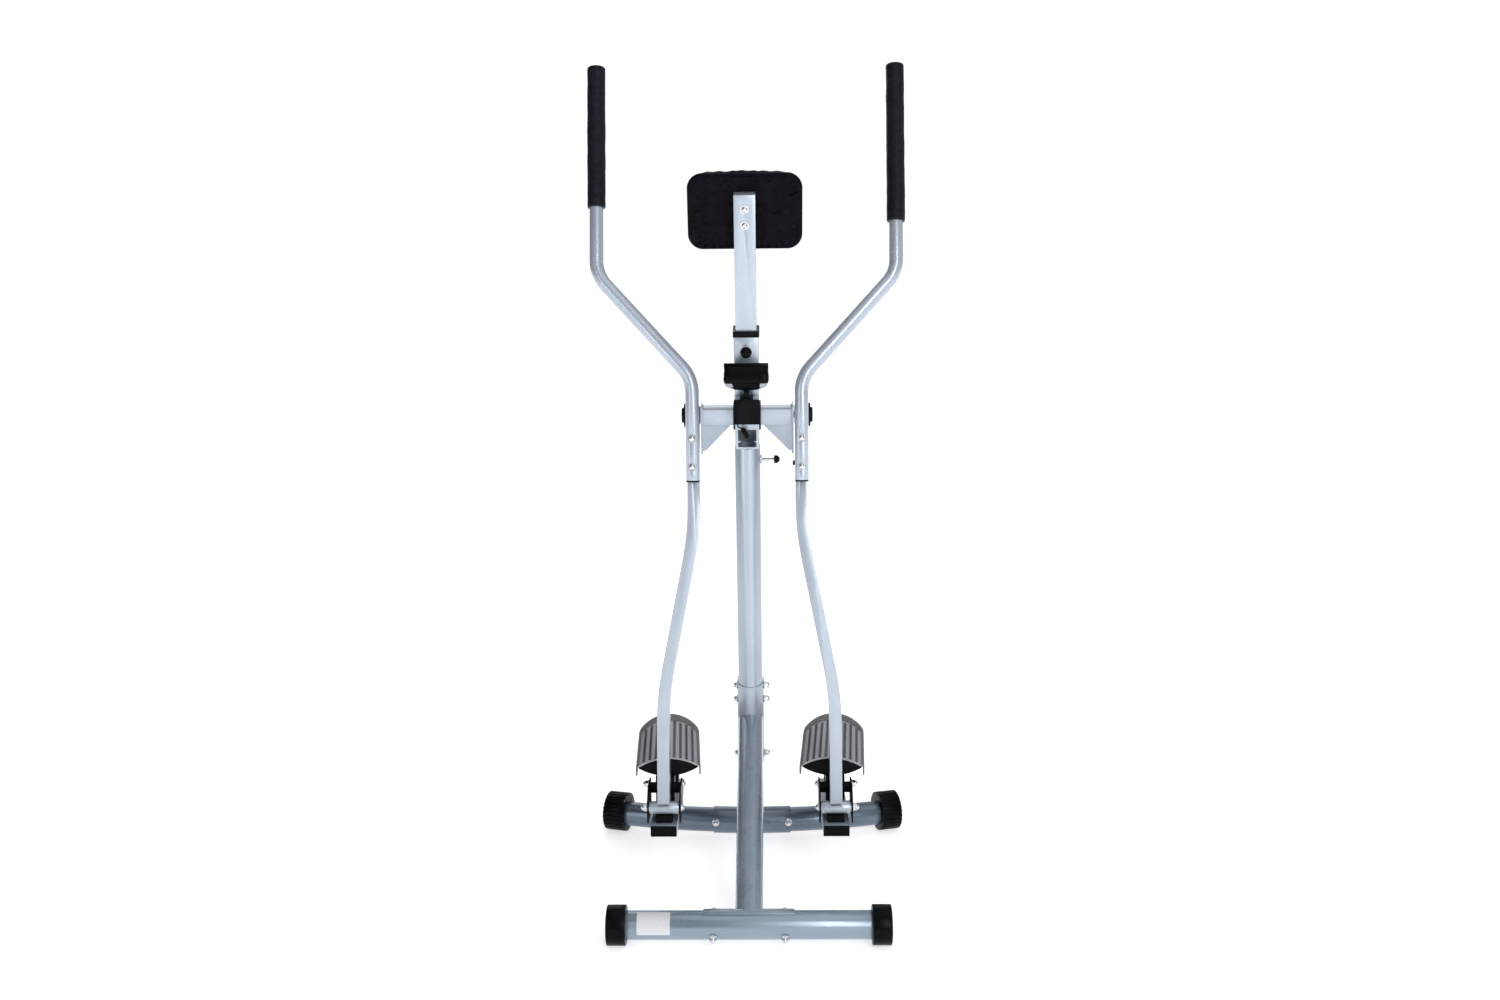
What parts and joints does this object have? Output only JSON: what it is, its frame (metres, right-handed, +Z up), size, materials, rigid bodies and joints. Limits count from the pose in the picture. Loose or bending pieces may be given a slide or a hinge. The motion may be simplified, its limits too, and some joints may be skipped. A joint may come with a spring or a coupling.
{
  "type": "free-swinging air walker",
  "caption": "Free-swinging glider exerciser: leaning mast on two floor bars, two hanging arms with handlebars and pedals on one cross axle, and a padded chest rest.",
  "frame": {"origin": "on the floor under the middle of the machine's box", "axes": "+Z up; the user stands at +Y facing -Y; +X to the right of a viewer who looks along +Y"},
  "size_m": [0.6298, 0.6005, 1.5552],
  "materials": {
    "silver_paint": "satin silver-blue paint",
    "grey_paint": "satin slate paint",
    "bright_zinc": "bright zinc plate",
    "black_plastic": "moulded black",
    "grey_plastic": "moulded light grey",
    "bearing_plastic": "nylon",
    "foam": "closed-cell foam",
    "vinyl": "soft vinyl",
    "board": "plywood",
    "rubber": "rubber",
    "dark_moulding": "moulded black",
    "yoke_paint": "black and silver paint",
    "lens": "clear window",
    "label": "blank label",
    "magnet": "moulded black"
  },
  "bodies": {
    "frame": {"front_base_tube": "grey_paint", "front_end_caps": "black_plastic", "front_leg": "grey_paint", "front_saddle_bolts": "bright_zinc", "brace_bracket": "silver_paint", "brace_bolts": "bright_zinc", "rear_base_tube": "grey_paint", "rear_saddle_bolts": "bright_zinc", "main_post": "silver_paint", "head_tube": "silver_paint", "crossbar": "silver_paint", "axle": "bright_zinc", "axle_nuts": "bright_zinc", "crossbar_collars": "black_plastic", "collar_bushing": "black_plastic", "monitor_stub": "silver_paint", "stub_plug": "black_plastic", "monitor_bracket": "black_plastic", "sensor_lead": "rubber", "sensor_plug": "black_plastic", "base_label": "label"},
    "left_arm": {"arm_bar_left": "silver_paint", "handle_bolts_left": "bright_zinc", "handlebar_left": "silver_paint", "handle_plug_left": "black_plastic", "grip_left": "foam", "hub_bushings_left": "bearing_plastic", "pivot_cap_left": "black_plastic"},
    "right_arm": {"arm_bar_right": "silver_paint", "handle_bolts_right": "bright_zinc", "handlebar_right": "silver_paint", "handle_plug_right": "black_plastic", "grip_right": "foam", "hub_bushings_right": "bearing_plastic", "pivot_cap_right": "black_plastic", "arm_magnet": "magnet"},
    "left_pedal": {"pedal_frame_left": "yoke_paint", "pedal_bolts_left": "bright_zinc", "pedal_plug_left": "black_plastic", "pedal_bumper_left": "rubber", "pedal_tread_left": "grey_plastic", "pedal_tray_left": "dark_moulding"},
    "right_pedal": {"pedal_frame_right": "yoke_paint", "pedal_bolts_right": "bright_zinc", "pedal_plug_right": "black_plastic", "pedal_bumper_right": "rubber", "pedal_tread_right": "grey_plastic", "pedal_tray_right": "dark_moulding"},
    "pad": {"pad_post": "silver_paint", "pad_bolts": "bright_zinc", "pad_board": "board", "pad_cushion": "vinyl"},
    "height_knob": {"height_knob": "black_plastic"},
    "lock_pin": {"lock_pin": "black_plastic"},
    "monitor": {"monitor_housing": "black_plastic", "monitor_bezel": "grey_plastic", "monitor_lens": "lens"},
    "monitor_button": {"monitor_button": "grey_plastic"},
    "left_levelling_cap": {"rear_cap_left": "black_plastic"},
    "right_levelling_cap": {"rear_cap_right": "black_plastic"}
  },
  "joints": [
    {"name": "left_arm_swing", "type": "hinge", "parent": "frame", "child": "left_arm", "pos_m": [0, 0.01995, 0.90588], "axis": [1, 0, 0], "range_deg": [-35, 35]},
    {"name": "right_arm_swing", "type": "hinge", "parent": "frame", "child": "right_arm", "pos_m": [0, 0.01995, 0.90588], "axis": [1, 0, 0], "range_deg": [-35, 35]},
    {"name": "left_pedal_rock", "type": "hinge", "parent": "left_arm", "child": "left_pedal", "pos_m": [-0.1625, -0.05364, 0.16854], "axis": [1, 0, 0], "range_deg": [0, 6]},
    {"name": "right_pedal_rock", "type": "hinge", "parent": "right_arm", "child": "right_pedal", "pos_m": [0.1625, -0.05364, 0.16854], "axis": [1, 0, 0], "range_deg": [0, 6]},
    {"name": "pad_height", "type": "slide", "parent": "frame", "child": "pad", "axis": [0, -0.2164, 0.9763], "range_m": [-0.045, 0.04]},
    {"name": "height_knob_pull", "type": "slide", "parent": "frame", "child": "height_knob", "axis": [0, -0.9763, -0.2164], "range_m": [0, 0.008], "stiffness_N_per_m": 600},
    {"name": "lock_pin_pull", "type": "slide", "parent": "frame", "child": "lock_pin", "axis": [1, 0, 0], "range_m": [0, 0.008], "stiffness_N_per_m": 600},
    {"name": "monitor_tilt", "type": "hinge", "parent": "frame", "child": "monitor", "pos_m": [0, -0.03084, 0.95249], "axis": [1, 0, 0], "range_deg": [0, 25]},
    {"name": "monitor_button_press", "type": "slide", "parent": "monitor", "child": "monitor_button", "axis": [0, -0.4536, -0.8912], "range_m": [0, 0.001], "stiffness_N_per_m": 400},
    {"name": "left_cap_turn", "type": "hinge", "parent": "frame", "child": "left_levelling_cap", "pos_m": [-0.28484, 0.25635, 0.036], "axis": [-0.9625, 0.2714, 0], "range_deg": [-90, 90]},
    {"name": "right_cap_turn", "type": "hinge", "parent": "frame", "child": "right_levelling_cap", "pos_m": [0.28484, 0.25635, 0.036], "axis": [0.9625, 0.2714, 0], "range_deg": [-90, 90]}
  ]
}
